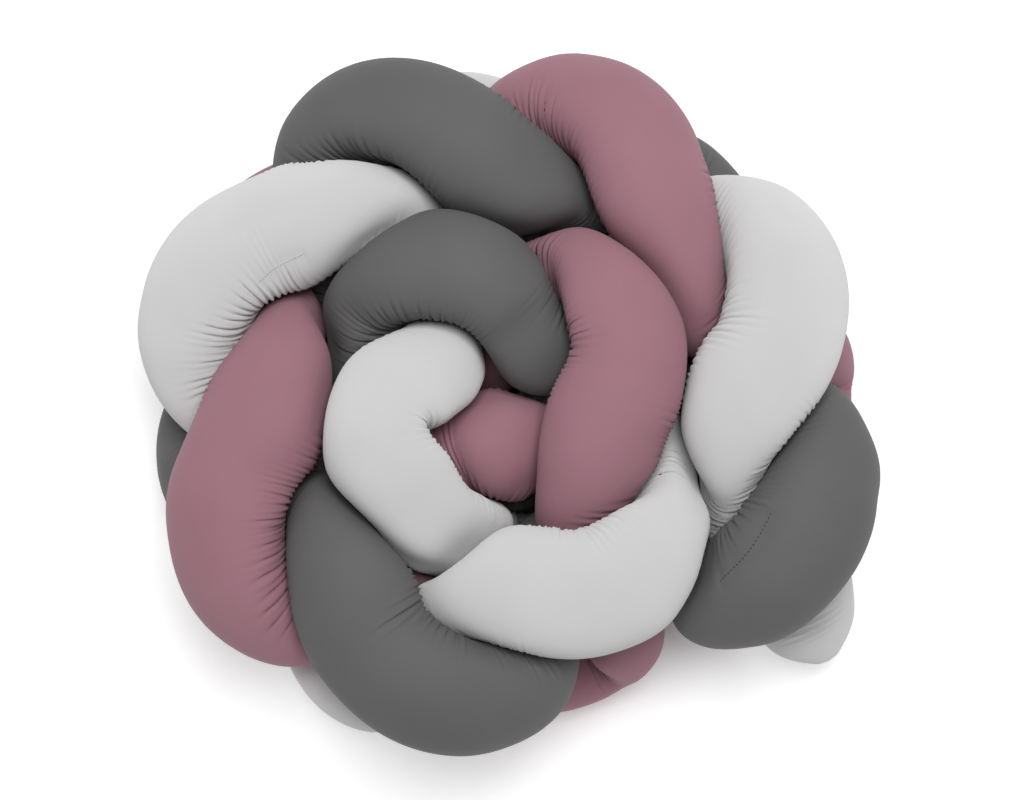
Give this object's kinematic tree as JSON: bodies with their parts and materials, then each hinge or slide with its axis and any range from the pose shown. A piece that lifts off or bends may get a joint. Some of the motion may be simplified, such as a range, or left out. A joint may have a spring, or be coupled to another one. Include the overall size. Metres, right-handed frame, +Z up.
{
  "type": "braided crib bumper",
  "caption": "Padded crib bumper of stuffed cloth tubes plaited together, with the plait stood on its edge and rolled up",
  "frame": {"origin": "on the floor under the middle of the roll", "axes": "+Z up out of the floor along the roll's axis, +X to the right and +Y away from a viewer who looks down on it from the front"},
  "size_m": [0.6242, 0.6098, 0.242],
  "materials": {
    "cloth_dark_grey": "matte",
    "cloth_light_grey": "matte",
    "cloth_pink": "matte"
  },
  "bodies": {
    "root": {"tube_dark_grey": "cloth_dark_grey", "tube_light_grey": "cloth_light_grey", "tube_pink": "cloth_pink"}
  },
  "joints": []
}
